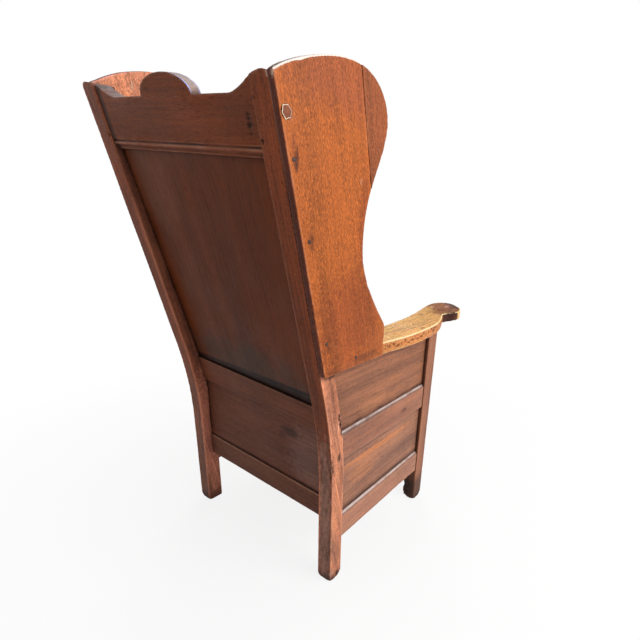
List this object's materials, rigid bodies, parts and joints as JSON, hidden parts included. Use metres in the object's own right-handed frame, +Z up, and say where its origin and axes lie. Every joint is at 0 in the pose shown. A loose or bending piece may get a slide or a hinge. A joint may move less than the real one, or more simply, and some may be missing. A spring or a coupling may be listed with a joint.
{
  "type": "lambing chair",
  "caption": "Wing-back lambing chair in aged oak: raked panelled back with a lobed crest, tall shaped wings, flat arms with crook ends, and a boxed base with a drawer under the plank seat.",
  "frame": {"origin": "middle of the bounding box in plan, at floor level", "axes": "+Z up, the chair faces -Y, +X points to the sitter's left"},
  "size_m": [0.6454, 0.8024, 1.2638],
  "materials": {
    "frame_oak": "old wax, satin, worn edges",
    "panel_oak": "old wax, satin",
    "wing_oak": "old wax, satin, figured",
    "arm_oak": "worn bare and polished by hands",
    "seat_oak": "worn wax",
    "drawer_front_oak": "old wax, satin",
    "drawer_lining_pine": "bare, aged",
    "lining_oak": "bare, aged",
    "peg_oak": "waxed end grain",
    "nail_iron": "rusted dark"
  },
  "bodies": {
    "chair": {"back_bottom_rail": "frame_oak", "back_lower_panel": "panel_oak", "back_mid_rail": "frame_oak", "back_panel": "panel_oak", "crest_lobe": "frame_oak", "crest_pegs": "peg_oak", "crest_rail": "frame_oak", "front_bottom_rail": "frame_oak", "front_seat_rail": "frame_oak", "left_arm": "arm_oak", "left_bottom_rail": "frame_oak", "left_drawer_guide": "lining_oak", "left_drawer_runner": "lining_oak", "left_front_post": "frame_oak", "left_lower_panel": "panel_oak", "left_mid_rail": "frame_oak", "left_rear_post": "frame_oak", "left_seat_bearer": "lining_oak", "left_upper_panel": "panel_oak", "left_wing_board": "wing_oak", "left_wing_nails": "nail_iron", "left_wing_plug": "peg_oak", "left_wing_strip": "wing_oak", "right_arm": "arm_oak", "right_bottom_rail": "frame_oak", "right_drawer_guide": "lining_oak", "right_drawer_runner": "lining_oak", "right_front_post": "frame_oak", "right_lower_panel": "panel_oak", "right_mid_rail": "frame_oak", "right_rear_post": "frame_oak", "right_seat_bearer": "lining_oak", "right_upper_panel": "panel_oak", "right_wing_board": "wing_oak", "right_wing_nails": "nail_iron", "right_wing_plug": "peg_oak", "right_wing_strip": "wing_oak", "seat_board_back": "seat_oak", "seat_board_front": "seat_oak", "seat_board_middle": "seat_oak"},
    "drawer": {"drawer_back": "drawer_lining_pine", "drawer_bottom": "drawer_lining_pine", "drawer_front": "drawer_front_oak", "drawer_left_knob": "drawer_front_oak", "drawer_left_side": "drawer_lining_pine", "drawer_right_knob": "drawer_front_oak", "drawer_right_side": "drawer_lining_pine"}
  },
  "joints": [
    {"name": "drawer_slide", "type": "slide", "parent": "chair", "child": "drawer", "axis": [0, -1, 0], "range_m": [0, 0.25]}
  ]
}
